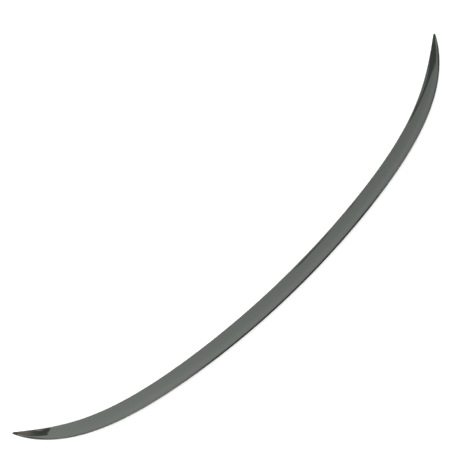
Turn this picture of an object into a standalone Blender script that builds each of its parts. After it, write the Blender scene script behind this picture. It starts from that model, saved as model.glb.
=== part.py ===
"""Rear boot-lid lip spoiler, stuck on with foam tape, as it lies on a table.

Blender 4.5, metres, +Z up.  X runs across the car, -Y is the trailing (rear) edge, +Y is the
leading edge and the two swept tips.  The lip stands on its own tape liners at Z = 0, with the
origin under the middle of its box.

Every piece is a short cross-section carried along one middle line.  A section is drawn in two
local millimetre coordinates: a runs from the trailing edge towards the leading edge in the
base plane, c rises from the base plane.  u is the place along the lip, -1 and +1 at the tips.
"""
import math
from functools import lru_cache

import bpy
import numpy as np

MM = 0.001

# ---- overall form, in millimetres ----
SPAN = 1180.0             # tip to tip across the car
SWEEP = 174.7             # how far the middle lies behind the tips
CHORD = 34.0              # trailing edge to leading edge at the middle
CREST = 13.0              # height of the raised trailing edge above the base plane
TIP_CHORD = 2.5           # what the section shrinks to at each tip
TIP_CREST = 2.4

# ---- how the form runs out to the tips ----
SWEEP_ROUND = 0.5605      # share of the sweep that is a plain parabola
SWEEP_HOOK_POWER = 6.37   # the rest of the sweep gathers near the tips
CHORD_END_POWER = 14.0    # the chord stays wide and closes close to the tip
CHORD_FADE = 0.1955       # gentle narrowing on the way out
CREST_END_POWER = 7.0
CREST_END_ROUND = 0.8
TILT = 12.0               # degrees that the base plane rises towards the leading edge
TILT_TIP_EXTRA = 10.0     # degrees more at the tips
TILT_TIP_POWER = 5.0
ARCH = 1.2                # how far the base clears the table between middle and tips

# ---- cross-section ----
WALL = 2.2                # moulded wall of the outer skin
CREST_RADIUS = 1.5
CREST_OVERHANG = 1.2      # the rear face leans back by this much
TOP_SAG = 0.9             # hollow of the top face
NOSE_RADIUS = 0.65
NOSE_CENTRE = 1.35        # height of the leading edge's centre
FOOT_BEVEL = 0.5
FOOT_STEP = 0.4           # the rear foot is this much wider than the wall, beyond the hollow
FOOT_TIP_SHARE = 0.4      # the foot's most share of the chord at the tips
LAND = 0.5                # the bonding lands lie this far above the base plane
HOLLOW_END = 527.7        # from the middle to the end of the hollow, along X
MIDDLE_LEAST = 0.6        # the carrier's run ends where only this is left between the beads
CUT_BELOW = 3.0           # how far a cutter passes through a face
ROOF_CORNER = 1.4         # chamfer inside the crest

# ---- inner carrier ----
GAP = 0.25                # clearance between pieces that meet
CARRIER_END_CLEAR = 6.0   # from the end of the hollow to the end of the carrier
PLATE = 1.5
RIB_THICK = 1.6
RIB_PITCH = 46.0
RIB_EMBED = 0.5           # how deep a rib roots into the plate
RIB_END_CLEAR = 14.0
RAIL_SIDE = 0.7           # from the rear tape to the rail between the lands
RAIL_FRONT = 2.2          # from the rail to the carrier's front edge
RAIL_LEAST = 5.5          # the rail ends where it has become this narrow
RAIL_END_CLEAR = 20.0     # and at least this far inside the end of the carrier's run
SLOT_LENGTH = 12.0
SLOT_WIDTH = 3.0
SLOT_COUNT = 6
SLOT_END_CLEAR = 60.0     # from the end of the rail to the outermost drain slot

# ---- bonding ----
BEAD_REAR = 3.0           # width of the rear adhesive bead
BEAD_REAR_HEIGHT = 2.4
BEAD_FRONT = 3.8
BEAD_FRONT_INSET = 2.2    # from the carrier's front edge to the bead
BEAD_END_CLEAR = 10.0
RIB_BEAD_CLEAR = 0.4
TAPE = 1.1                # foam tape thickness
LINER = 0.25
TAPE_INSET = 3.2          # trailing edge to the rear tape
REAR_TAPE = 7.0           # width
FRONT_TAPE = 5.5
FRONT_TAPE_INSET = 3.6    # leading edge to the front tape
TAPE_END_CLEAR = 17.0     # from the end of the hollow to the end of both runs of tape
TAPE_SEGMENTS = 5
TAPE_BREAK = 16.0         # space between two lengths of tape
TAB = 11.0                # pull tab, the liner's overhang past its tape
PAD_CLEAR = 6.0           # from the end of the hollow to the tip pad
PAD_LENGTH = 32.0
PAD_SIDE = 2.8            # leading edge to the pad, at least
PAD_TAB = 5.0

# ---- leading-edge seal ----
SEAL_WIDTH = 2.7
SEAL_INSET = 0.4
SEAL_DEPTH = 1.15
SEAL_END_CLEAR = 27.0     # from the tip to the end of the seal

# ---- fineness ----
STATIONS = 85             # sections from tip to tip, shared by every piece
STATION_CLEAR = 0.3       # a piece's end keeps this share of a station's step from the next one
ARC_POINTS = 6
TOP_POINTS = 3


# ---- the middle line and how the section changes along it ----
def u_at(x):
    """The u whose middle line is x millimetres from the centre."""
    return x / (SPAN / 2.0)


def fade_to_tip(u, power):
    """1 at the middle, 0 at the tips, staying near 1 for longer the higher the power."""
    return max(1.0 - abs(u) ** power, 0.0)


def chord(u):
    """Width of the section at u."""
    narrowing = 1.0 - CHORD_FADE * u * u
    return TIP_CHORD + (CHORD - TIP_CHORD) * fade_to_tip(u, CHORD_END_POWER) * narrowing


def crest(u):
    """Height of the section at u."""
    return TIP_CREST + (CREST - TIP_CREST) * fade_to_tip(u, CREST_END_POWER) ** CREST_END_ROUND


def share(u):
    """Height of the section at u as a share of the full height."""
    return crest(u) / CREST


def tilt(u):
    """Rise of the base plane towards the leading edge, in radians."""
    return math.radians(TILT + TILT_TIP_EXTRA * abs(u) ** TILT_TIP_POWER)


def land(u):
    """Height of the bonding lands above the base plane."""
    return LAND * share(u)


def liner_foot(u):
    """Height, over the base plane, of the underside of the liner."""
    return land(u) - GAP - TAPE - GAP - LINER


def base_height(u):
    """Height of the base line that puts the rear liner's edge on the table, plus the arch."""
    angle = tilt(u)
    stand = -(TAPE_INSET * math.sin(angle) + liner_foot(u) * math.cos(angle))
    rest = pad_start() + u_at(PAD_LENGTH / 2.0)
    if abs(u) >= rest:
        return stand
    return stand + ARCH * math.sin(math.pi * u / rest) ** 2


def middle_line(u):
    """Place and direction of the middle line: a parabola and a steeper power of u."""
    hook = 1.0 - SWEEP_ROUND
    reach = abs(u)
    y = -SWEEP * (1.0 - SWEEP_ROUND * reach ** 2 - hook * reach ** SWEEP_HOOK_POWER)
    slope = 2.0 * SWEEP_ROUND * reach + hook * SWEEP_HOOK_POWER * reach ** (SWEEP_HOOK_POWER - 1.0)
    slope *= math.copysign(SWEEP / (SPAN / 2.0), u)
    return SPAN / 2.0 * u, y, slope


def place(u, a, c, along=0.0):
    """World point of the section point (a, c) at u, moved by along beside the section."""
    x, y, slope = middle_line(u)
    length = math.hypot(1.0, slope)
    tx, ty = 1.0 / length, slope / length
    angle = tilt(u)
    across = (a - chord(u) / 2.0) * math.cos(angle) - c * math.sin(angle)
    rise = base_height(u) + a * math.sin(angle) + c * math.cos(angle)
    return ((x - ty * across + tx * along) * MM, (y + tx * across + ty * along) * MM, rise * MM)


def stations(start, end):
    """The shared sections between start and end, with start and end themselves.

    The shared sections crowd towards the tips, where the form turns fastest, and because every
    piece uses them, the facets of two pieces that meet lie parallel.
    """
    shared = np.sin(np.linspace(-math.pi / 2.0, math.pi / 2.0, STATIONS))
    steps = np.gradient(shared)
    inside = (shared > start + STATION_CLEAR * steps) & (shared < end - STATION_CLEAR * steps)
    return [start, *shared[inside], end]


# ---- section curves ----
def arc(centre_a, centre_c, radius, start, end, count):
    """Points of an arc between two angles in degrees."""
    angles = np.radians(np.linspace(start, end, count))
    return [(centre_a + radius * math.cos(t), centre_c + radius * math.sin(t)) for t in angles]


def top_ends(u):
    """Where the top face starts behind the crest and ends above the nose."""
    q = share(u)
    start = ((CREST_RADIUS - CREST_OVERHANG) * q, crest(u))
    end = (chord(u) - NOSE_RADIUS * q, (NOSE_CENTRE + NOSE_RADIUS) * q)
    return start, end


def top_face(a, u):
    """Height of the slightly hollow top face at a."""
    (a0, c0), (a1, c1) = top_ends(u)
    t = (a - a0) / (a1 - a0)
    sag = TOP_SAG * chord(u) / CHORD
    return c0 + (c1 - c0) * t - 4.0 * sag * t * (1.0 - t)


def top_angle(u):
    """Direction, in degrees, that the top face's start faces."""
    (a0, c0), (a1, c1) = top_ends(u)
    slope = (c0 - c1 + 4.0 * TOP_SAG * chord(u) / CHORD) / (a1 - a0)
    return 90.0 - math.degrees(math.atan(slope))


def roof(a, u):
    """Height of the inside of the top wall at a."""
    return top_face(a, u) - WALL


def plate_top(u):
    """Upper face of the carrier's plate."""
    return land(u) + PLATE


def hollow_front(u):
    """The a where the inside of the top wall has come down to the carrier's plate."""
    low, high = CREST_RADIUS, chord(u)
    for _ in range(40):
        middle = (low + high) / 2.0
        if roof(middle, u) > plate_top(u) + GAP:
            low = middle
        else:
            high = middle
    return low


def outermost(width, least):
    """The u nearest the tip at which width(u) is still the least one asked for."""
    low, high = 0.0, 1.0
    for _ in range(40):
        middle = (low + high) / 2.0
        if width(middle) > least:
            low = middle
        else:
            high = middle
    return low


def hollow_end():
    """The u where the hollow ends."""
    return u_at(HOLLOW_END)


@lru_cache(maxsize=None)
def run_end():
    """The u where the carrier's run ends: with the hollow, or where both beads only just fit."""
    beads_wide = BEAD_REAR + BEAD_FRONT + BEAD_FRONT_INSET + 2.0 * GAP
    both_fit = outermost(lambda u: hollow_front(u) - WALL, beads_wide + MIDDLE_LEAST)
    return min(hollow_end(), both_fit)


@lru_cache(maxsize=None)
def rail_end():
    """The u where the rail between the lands has become narrow, or nears the carrier's end."""
    sides = TAPE_INSET + REAR_TAPE + RAIL_SIDE + RAIL_FRONT
    narrow = outermost(lambda u: hollow_front(u) - sides, RAIL_LEAST)
    return min(narrow, inside_hollow(RAIL_END_CLEAR))


def pad_start():
    """The u where the tip pads start, just past the hollow."""
    return hollow_end() + u_at(PAD_CLEAR)


def inside_hollow(clear):
    """The u that lies clear millimetres of X inside the end of the carrier's run."""
    return run_end() - u_at(clear)


def skin_outline(u):
    """Solid outline of the skin: foot, rear face, crest, hollow top face, nose, underside."""
    q = share(u)
    width = chord(u)
    bevel = FOOT_BEVEL * q
    radius = CREST_RADIUS * q
    crest_a = radius - CREST_OVERHANG * q
    foot = min(WALL + FOOT_STEP, FOOT_TIP_SHARE * width)
    nose_a = width - NOSE_RADIUS * q
    points = [(bevel, 0.0), (0.0, bevel)]
    points += arc(crest_a, crest(u) - radius, radius, 180.0, top_angle(u), ARC_POINTS)
    start = points[-1][0]
    for k in range(1, TOP_POINTS + 1):
        a = start + (nose_a - start) * k / (TOP_POINTS + 1)
        points.append((a, top_face(a, u)))
    points += arc(nose_a, NOSE_CENTRE * q, NOSE_RADIUS * q, 90.0, -90.0, 4)
    points += [(width - SEAL_WIDTH * q, land(u)), (foot, land(u)), (foot, 0.0)]
    return points


def wall_top(u):
    """Height of the upright inside of the rear wall, below the corner's chamfer."""
    return roof(WALL + ROOF_CORNER, u) - ROOF_CORNER


def hollow_outline(u):
    """Outline of what is cut out of the skin, open below."""
    front = hollow_front(u)
    corner = WALL + ROOF_CORNER
    points = [(WALL, -CUT_BELOW), (WALL, wall_top(u))]
    for k in range(TOP_POINTS + 1):
        a = corner + (front - corner) * k / TOP_POINTS
        points.append((a, roof(a, u)))
    points.append((front, -CUT_BELOW))
    return points


def plate_outline(u):
    """Flat plate that closes the underside of the hollow."""
    rear = WALL + GAP
    front = hollow_front(u) - GAP
    return [(rear, land(u)), (rear, plate_top(u)), (front, plate_top(u)), (front, land(u))]


def rail_outline(u):
    """Low rail that stands down between the rear tape and the front of the plate."""
    rear = TAPE_INSET + REAR_TAPE + RAIL_SIDE
    front = hollow_front(u) - RAIL_FRONT
    middle = land(u) + PLATE / 2.0
    return [(rear + LAND, 0.0), (rear, middle), (front, middle), (front - LAND, 0.0)]


def rear_bead_outline(u):
    """Fillet of adhesive in the corner of the plate and the rear wall, no higher than that wall."""
    rear = WALL + GAP
    low = plate_top(u) + GAP
    high = min(low + BEAD_REAR_HEIGHT, wall_top(u) - GAP)
    return [(rear, low), (rear, high), (rear + BEAD_REAR, low)]


def front_bead_outline(u):
    """Wedge of adhesive between the plate and the inside of the top wall."""
    front = hollow_front(u) - GAP - BEAD_FRONT_INSET
    rear = front - BEAD_FRONT
    low = plate_top(u) + GAP
    return [(rear, low), (rear, roof(rear, u) - GAP), (front, roof(front, u) - GAP), (front, low)]


def seal_outline(u):
    """Half-round soft bead under the leading edge."""
    q = share(u)
    front = chord(u) - SEAL_INSET * q
    rear = front - SEAL_WIDTH * q
    top = land(u) - GAP
    centre = (front + rear) / 2.0
    half = (front - rear) / 2.0
    angles = np.radians(np.linspace(0.0, -180.0, ARC_POINTS))
    return [(centre + half * math.cos(t), top + SEAL_DEPTH * (math.sin(t) - 0.12)) for t in angles] + [
        (rear, top), (front, top)]


def rear_tape_span(u):
    """Both edges of the rear run of tape."""
    return TAPE_INSET, TAPE_INSET + REAR_TAPE


def front_tape_span(u):
    """Both edges of the front run of tape."""
    front = chord(u) - FRONT_TAPE_INSET
    return front - FRONT_TAPE, front


def pad_span(u):
    """Both edges of a tip pad, which stays behind the seal."""
    behind_seal = (SEAL_INSET + SEAL_WIDTH) * share(u) + GAP
    return TAPE_INSET, chord(u) - max(PAD_SIDE, behind_seal)


def tape_outline(u, span):
    """Foam tape under its land."""
    rear, front = span(u)
    top = land(u) - GAP
    return [(rear, top - TAPE), (rear, top), (front, top), (front, top - TAPE)]


def liner_outline(u, span):
    """Release liner under the tape."""
    rear, front = span(u)
    low = liner_foot(u)
    return [(rear, low), (rear, low + LINER), (front, low + LINER), (front, low)]


# ---- solids ----
def paint(obj, colour, roughness, coat=0.0):
    """Own material for one piece."""
    material = bpy.data.materials.new(obj.name + "_finish")
    material.use_nodes = True
    shader = material.node_tree.nodes["Principled BSDF"]
    shader.inputs["Base Color"].default_value = (*colour, 1.0)
    shader.inputs["Roughness"].default_value = roughness
    shader.inputs["Metallic"].default_value = 0.0
    shader.inputs["Coat Weight"].default_value = coat
    obj.data.materials.append(material)


def solid(name, rings, depths):
    """Closed solid through a row of rings with equal point counts, its ends capped flat.

    depths are the outline's a values.  Each wall panel is split from its leading corner nearer
    the middle to its trailing corner nearer the tip, so that the facets of two layers lie
    parallel and the left half mirrors the right.
    """
    count = len(rings[0])
    vertices = [point for ring in rings for point in ring]
    faces = []
    for i in range(len(rings) - 1):
        right = rings[i][0][0] + rings[i + 1][0][0] > 0.0
        for j in range(count):
            k = (j + 1) % count
            here, beside = i * count + j, i * count + k
            next_here, next_beside = here + count, beside + count
            if (depths[k] > depths[j]) == right:
                faces += [(here, beside, next_here), (beside, next_beside, next_here)]
            else:
                faces += [(here, beside, next_beside), (here, next_beside, next_here)]
    last = (len(rings) - 1) * count
    faces.append(tuple(range(count - 1, -1, -1)))
    faces.append(tuple(last + j for j in range(count)))
    mesh = bpy.data.meshes.new(name)
    mesh.from_pydata(vertices, [], faces)
    mesh.update()
    if signed_volume(mesh) < 0.0:
        mesh.flip_normals()
    mesh.shade_smooth()
    mesh.set_sharp_from_angle(angle=math.radians(30.0))
    obj = bpy.data.objects.new(name, mesh)
    bpy.context.scene.collection.objects.link(obj)
    return obj


def signed_volume(mesh):
    """Six times the volume inside a mesh, positive when its faces point out."""
    total = 0.0
    for face in mesh.polygons:
        corners = [mesh.vertices[v].co for v in face.vertices]
        for k in range(1, len(corners) - 1):
            total += corners[0].dot(corners[k].cross(corners[k + 1]))
    return total


def swept(name, start, end, outline):
    """Solid made by carrying outline(u) from start to end."""
    rings = [[place(u, a, c) for a, c in outline(u)] for u in stations(start, end)]
    return solid(name, rings, [a for a, c in outline((start + end) / 2.0)])


def upright(name, u, outline, thickness):
    """Flat plate of outline (a, c) points standing across the lip at u."""
    half = thickness / 2.0
    rings = [[place(u, a, c, side) for a, c in outline] for side in (-half, half)]
    return solid(name, rings, [a for a, c in outline])


def as_cutter(obj):
    """Helper solid that is left out of the model."""
    obj.hide_render = True
    obj.display_type = 'WIRE'
    return obj


def combine(obj, other, operation):
    """Exact Boolean of two solids, kept as a modifier."""
    modifier = obj.modifiers.new(operation.title() + "_" + other.name, 'BOOLEAN')
    modifier.operation = operation
    modifier.solver = 'EXACT'
    modifier.object = as_cutter(other)


def joined(name, pieces):
    """One helper object from several separate solids."""
    vertices = []
    faces = []
    for piece in pieces:
        start = len(vertices)
        vertices += [tuple(v.co) for v in piece.data.vertices]
        faces += [tuple(start + v for v in face.vertices) for face in piece.data.polygons]
        mesh = piece.data
        bpy.data.objects.remove(piece)
        bpy.data.meshes.remove(mesh)
    mesh = bpy.data.meshes.new(name)
    mesh.from_pydata(vertices, [], faces)
    mesh.update()
    obj = bpy.data.objects.new(name, mesh)
    bpy.context.scene.collection.objects.link(obj)
    return obj


# ---- pieces ----
def outer_skin():
    """Painted moulding, solid at the tips and along the leading edge, hollow between."""
    skin = swept("outer_skin", -1.0, 1.0, skin_outline)
    hollow = swept("hollow_cut", -hollow_end(), hollow_end(), hollow_outline)
    combine(skin, hollow, 'DIFFERENCE')
    paint(skin, (0.008, 0.009, 0.009), 0.08, 1.0)
    return skin


def rib_outline(u):
    """Cross rib from inside the plate up to the inside of the top wall."""
    rear = WALL + GAP + BEAD_REAR + RIB_BEAD_CLEAR
    front = hollow_front(u) - GAP - BEAD_FRONT_INSET - BEAD_FRONT - RIB_BEAD_CLEAR
    root = plate_top(u) - RIB_EMBED
    tops = [(a, roof(a, u) - GAP) for a in np.linspace(rear, front, TOP_POINTS)]
    return [(rear, root)] + tops + [(front, root)]


def rib_places():
    """Evenly pitched u of the ribs, the same on both sides of the middle."""
    reach = SPAN / 2.0 * inside_hollow(RIB_END_CLEAR)
    side = int(reach // RIB_PITCH)
    return [u_at(k * RIB_PITCH) for k in range(-side, side + 1)]


def slot_places():
    """u of the drain slots, each moved to the middle of the bay between two ribs."""
    spread = rail_end() - u_at(SLOT_END_CLEAR)
    wanted = np.linspace(-spread, spread, SLOT_COUNT)
    pitch = u_at(RIB_PITCH)
    return [(math.floor(u / pitch) + 0.5) * pitch for u in wanted]


def slot_cut(name, u):
    """Cutter for one drain slot, through the middle of the rail and the plate."""
    middle = (TAPE_INSET + REAR_TAPE + RAIL_SIDE + hollow_front(u) - RAIL_FRONT) / 2.0
    rear, front = middle - SLOT_WIDTH / 2.0, middle + SLOT_WIDTH / 2.0
    low, high = -CUT_BELOW, plate_top(u) + RIB_EMBED
    outline = [(rear, low), (rear, high), (front, high), (front, low)]
    return upright(name, u, outline, SLOT_LENGTH)


def base_carrier():
    """Black inner moulding: plate, rail between the lands, cross ribs and drain slots."""
    reach = inside_hollow(CARRIER_END_CLEAR)
    carrier = swept("base_carrier", -reach, reach, plate_outline)
    rail = swept("rail_add", -rail_end(), rail_end(), rail_outline)
    ribs = [upright("rib_%02d" % i, u, rib_outline(u), RIB_THICK) for i, u in enumerate(rib_places())]
    slots = [slot_cut("slot_%02d" % i, u) for i, u in enumerate(slot_places())]
    combine(carrier, rail, 'UNION')
    combine(carrier, joined("ribs_add", ribs), 'UNION')
    combine(carrier, joined("slots_cut", slots), 'DIFFERENCE')
    paint(carrier, (0.016, 0.016, 0.017), 0.55)
    return carrier


def beads():
    """Two lines of structural adhesive that hold the carrier in the skin."""
    reach = inside_hollow(BEAD_END_CLEAR)
    for name, outline in (("bond_bead_rear", rear_bead_outline), ("bond_bead_front", front_bead_outline)):
        paint(swept(name, -reach, reach, outline), (0.06, 0.062, 0.065), 0.45)


def leading_edge_seal():
    """Soft black bead that closes the joint to the boot lid."""
    end = 1.0 - u_at(SEAL_END_CLEAR)
    seal = swept("leading_edge_seal", -end, end, seal_outline)
    paint(seal, (0.012, 0.012, 0.012), 0.7)


def tape_and_liner(label, start, end, span, tab):
    """One length of foam tape and its liner, whose tab passes the tape's outboard end."""
    tape = swept("tape_" + label, start, end, lambda u: tape_outline(u, span))
    paint(tape, (0.02, 0.02, 0.021), 0.8)
    outboard = u_at(tab)
    low, high = (start, end + outboard) if start + end >= 0.0 else (start - outboard, end)
    liner = swept("liner_" + label, low, high, lambda u: liner_outline(u, span))
    paint(liner, (0.45, 0.02, 0.02), 0.35)


def tape_runs():
    """Front and rear runs of tape in equal lengths with a break between them."""
    reach = SPAN / 2.0 * inside_hollow(TAPE_END_CLEAR)
    length = (2.0 * reach - (TAPE_SEGMENTS - 1) * TAPE_BREAK) / TAPE_SEGMENTS
    for run, span in (("rear", rear_tape_span), ("front", front_tape_span)):
        for k in range(TAPE_SEGMENTS):
            start = -reach + k * (length + TAPE_BREAK)
            label = "%s_%d" % (run, k + 1)
            tape_and_liner(label, u_at(start), u_at(start + length), span, TAB)


def tip_pads():
    """One short pad of tape under each solid tip."""
    start = pad_start()
    end = start + u_at(PAD_LENGTH)
    tape_and_liner("tip_left", -end, -start, pad_span, PAD_TAB)
    tape_and_liner("tip_right", start, end, pad_span, PAD_TAB)


def centre_on_origin():
    """Move everything so that the model's box stands on Z = 0 with its middle over the origin."""
    corners = [v.co for obj in bpy.data.objects if not obj.hide_render for v in obj.data.vertices]
    box = np.array(corners)
    low, high = box.min(axis=0), box.max(axis=0)
    shift = (-(low[0] + high[0]) / 2.0, -(low[1] + high[1]) / 2.0, -low[2])
    for obj in bpy.data.objects:
        obj.location = shift


def main():
    """Empty the scene and build every piece."""
    for obj in list(bpy.data.objects):
        bpy.data.objects.remove(obj)
    outer_skin()
    base_carrier()
    beads()
    leading_edge_seal()
    tape_runs()
    tip_pads()
    centre_on_origin()


main()
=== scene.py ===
# %% [markdown]
# # A gloss-black lip spoiler for a car's boot lid
#
# The object is a slim crescent of lacquered plastic, 1.18 m long and under 15 mm high, that is
# stuck to the rear edge of a boot lid. Its look is almost all reflection, so this lesson makes
# three things with care: one very smooth surface for the painted skin, the soft and moulded
# pieces hidden under it, and a light box for the paint to mirror.
#
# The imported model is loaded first. It fixes where everything is, and nothing here moves it.

# %% Load the fixed frame
import math

import bmesh
import bpy
import numpy as np
from mathutils import Matrix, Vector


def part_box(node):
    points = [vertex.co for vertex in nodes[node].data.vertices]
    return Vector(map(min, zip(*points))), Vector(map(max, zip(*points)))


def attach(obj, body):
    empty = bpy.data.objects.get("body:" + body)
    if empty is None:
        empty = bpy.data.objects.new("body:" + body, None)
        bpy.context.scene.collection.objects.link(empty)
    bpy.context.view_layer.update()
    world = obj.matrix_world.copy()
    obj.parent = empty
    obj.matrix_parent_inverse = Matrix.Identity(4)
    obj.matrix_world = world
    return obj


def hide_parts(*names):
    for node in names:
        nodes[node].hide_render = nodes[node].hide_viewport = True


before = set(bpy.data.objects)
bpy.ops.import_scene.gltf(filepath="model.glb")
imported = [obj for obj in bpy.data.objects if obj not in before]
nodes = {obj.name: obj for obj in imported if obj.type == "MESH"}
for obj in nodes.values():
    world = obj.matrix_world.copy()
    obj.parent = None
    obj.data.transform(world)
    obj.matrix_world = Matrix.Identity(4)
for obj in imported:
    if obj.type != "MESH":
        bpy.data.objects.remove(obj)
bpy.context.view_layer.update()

# %% [markdown]
# ## The form, as functions of one number
#
# Every piece follows one middle line and one family of cross-sections, so the form is written
# once, as functions of u: 0 at the middle of the car, -1 and +1 at the tips. Inside a section,
# a runs from the trailing edge to the leading edge and c rises from the base plane, both in
# millimetres. numpy works on whole arrays of u at a time, so a surface of 100,000 points takes
# no loop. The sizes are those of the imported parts.

# %% Sizes of the form, in millimetres
MM = 0.001
SPAN, SWEEP, CHORD, CREST = 1180.0, 174.7, 34.0, 13.0
TIP_CHORD, TIP_CREST = 2.5, 2.4
SWEEP_ROUND, SWEEP_HOOK_POWER = 0.5605, 6.37
CHORD_END_POWER, CHORD_FADE = 14.0, 0.1955
CREST_END_POWER, CREST_END_ROUND = 7.0, 0.8
TILT, TILT_TIP_EXTRA, TILT_TIP_POWER = 12.0, 10.0, 5.0
ARCH = 1.2
WALL, CREST_RADIUS, CREST_OVERHANG, TOP_SAG = 2.2, 1.5, 1.2, 0.9
NOSE_RADIUS, NOSE_CENTRE, FOOT_BEVEL, FOOT_TIP_SHARE, LAND = 0.65, 1.35, 0.5, 0.4, 0.5
GAP, PLATE, ROOF_CORNER = 0.25, 1.5, 1.4
BEAD_REAR, BEAD_REAR_HEIGHT, BEAD_FRONT, BEAD_FRONT_INSET = 3.0, 2.4, 3.8, 2.2
HOLLOW_END = 527.7
TAPE, LINER, TAPE_INSET, REAR_TAPE = 1.1, 0.25, 3.2, 7.0
FRONT_TAPE, FRONT_TAPE_INSET = 5.5, 3.6
PAD_CLEAR, PAD_LENGTH, PAD_SIDE = 6.0, 32.0, 2.8
SEAL_WIDTH, SEAL_INSET, SEAL_DEPTH, SEAL_END_CLEAR = 2.7, 0.4, 1.15, 27.0
HALF = SPAN / 2.0
HALVINGS = 40

# %% How the section changes along the lip


def fade_to_tip(u, power):
    """1 minus the distance from the middle raised to a power: flat, then a fall at the tips."""
    return np.clip(1.0 - np.abs(u) ** power, 0.0, None)


def chord(u):
    """Width of the section: the full chord times a fade to the tip and a gentle narrowing."""
    narrowing = 1.0 - CHORD_FADE * u * u
    return TIP_CHORD + (CHORD - TIP_CHORD) * fade_to_tip(u, CHORD_END_POWER) * narrowing


def crest(u):
    """Height of the section: the full height times a rounded fade to the tip."""
    return TIP_CREST + (CREST - TIP_CREST) * fade_to_tip(u, CREST_END_POWER) ** CREST_END_ROUND


def share(u):
    """Height of the section over the full height."""
    return crest(u) / CREST


def tilt(u):
    """Rise of the base plane towards the leading edge, in radians, steeper at the tips."""
    return np.radians(TILT + TILT_TIP_EXTRA * np.abs(u) ** TILT_TIP_POWER)


def land(u):
    """Height of the bonding lands over the base plane."""
    return LAND * share(u)


def liner_foot(u):
    """Underside of the release liner, measured from the base plane."""
    return land(u) - 2.0 * GAP - TAPE - LINER


def middle_line(u):
    """Place and slope of the middle line: a parabola plus a steep power that hooks the tips."""
    hook = 1.0 - SWEEP_ROUND
    reach = np.abs(u)
    y = -SWEEP * (1.0 - SWEEP_ROUND * reach ** 2 - hook * reach ** SWEEP_HOOK_POWER)
    slope = 2.0 * SWEEP_ROUND * reach + hook * SWEEP_HOOK_POWER * reach ** (SWEEP_HOOK_POWER - 1.0)
    return HALF * u, y, slope * np.sign(u) * SWEEP / HALF


# %% [markdown]
# The top face is a shallow hollow between the raised trailing edge and the thin leading edge.
# Inside, the moulding is hollow from the rear wall to where its roof meets the carrier's plate.
# That place is found by halving an interval forty times, for all u at once.

# %% Top face, roof and the ends of the hollow


def top_ends(u):
    """Where the top face starts behind the crest and ends over the nose."""
    q = share(u)
    return ((CREST_RADIUS - CREST_OVERHANG) * q, crest(u)), (
        chord(u) - NOSE_RADIUS * q, (NOSE_CENTRE + NOSE_RADIUS) * q)


def top_face(a, u):
    """Straight line between the top face's ends, less a parabola that makes it hollow."""
    (a0, c0), (a1, c1) = top_ends(u)
    t = (a - a0) / (a1 - a0)
    return c0 + (c1 - c0) * t - 4.0 * TOP_SAG * chord(u) / CHORD * t * (1.0 - t)


def roof(a, u):
    """Inside of the top wall."""
    return top_face(a, u) - WALL


def halved(keep, low, high):
    """The last place at which keep(place) is true, found by halving the interval."""
    for _ in range(HALVINGS):
        middle = (low + high) / 2.0
        inside = keep(middle)
        low = np.where(inside, middle, low)
        high = np.where(inside, high, middle)
    return low


def hollow_front(u):
    """The a where the roof has come down to the plate."""
    u = np.asarray(u, float)
    return halved(lambda a: roof(a, u) > land(u) + PLATE + GAP, CREST_RADIUS + 0.0 * u, chord(u))


hollow_end = HOLLOW_END / HALF
pad_start = hollow_end + PAD_CLEAR / HALF
rest_at = pad_start + PAD_LENGTH / HALF / 2.0
print("hollow ends at u =", round(hollow_end, 4), " tip pads start at", round(pad_start, 4))

# %% [markdown]
# One function turns section coordinates into places in the world: it tilts the section about
# its rear corner, stands it across the middle line and lifts it so that the rear liner just
# touches the table. The middle line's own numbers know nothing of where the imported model's
# origin lies, so the last step slides everything until the middle rear liner is in its place.

# %% From section coordinates to the world


def base_height(u):
    """Height that puts the rear liner on the table, plus a low arch between middle and tips."""
    stand = -(TAPE_INSET * np.sin(tilt(u)) + liner_foot(u) * np.cos(tilt(u)))
    arch = ARCH * np.sin(np.pi * u / rest_at) ** 2
    return stand + np.where(np.abs(u) < rest_at, arch, 0.0)


def section_to_world(u, a, c, along=0.0):
    """Point (a, c) of the section at u, moved along beside it; arrays broadcast. Metres."""
    x, y, slope = middle_line(u)
    length = np.hypot(1.0, slope)
    tx, ty = 1.0 / length, slope / length
    across = (a - chord(u) / 2.0) * np.cos(tilt(u)) - c * np.sin(tilt(u))
    rise = base_height(u) + a * np.sin(tilt(u)) + c * np.cos(tilt(u))
    place = [x - ty * across + tx * along, y + tx * across + ty * along, rise + 0.0 * x]
    return np.stack(place, -1) * MM


liner_low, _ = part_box("liner_rear_3")
corner = section_to_world(np.zeros(1), TAPE_INSET, liner_foot(np.zeros(1)) + LINER)[0]
SLIDE = np.array([0.0, liner_low.y - corner[1], 0.0])
print("slide onto the packed model (m):", SLIDE.round(5))


def carried(u, outline):
    """Grid of world points: outline(u) gives a and c as (stations, points) arrays."""
    a, c = outline(u[:, None])
    return section_to_world(u[:, None], a, c) + SLIDE


# %% [markdown]
# ## Helpers for shader nodes
#
# Light, room and finishes are all node trees. A few helpers keep them readable: one adds a node
# with its values, one opens a node group with named sockets, one places a group, and two make
# the smooth steps and the colour mixes that turn up everywhere.

# %% Node helpers


def node(tree, kind, sockets=None, **properties):
    """New node: properties are set on it, sockets are set to a value or linked to an output."""
    made = tree.nodes.new("ShaderNode" + kind)
    for name, value in properties.items():
        setattr(made, name, value)
    for name, value in (sockets or {}).items():
        if isinstance(value, bpy.types.NodeSocket):
            tree.links.new(value, made.inputs[name])
        else:
            made.inputs[name].default_value = value
    return made


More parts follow.
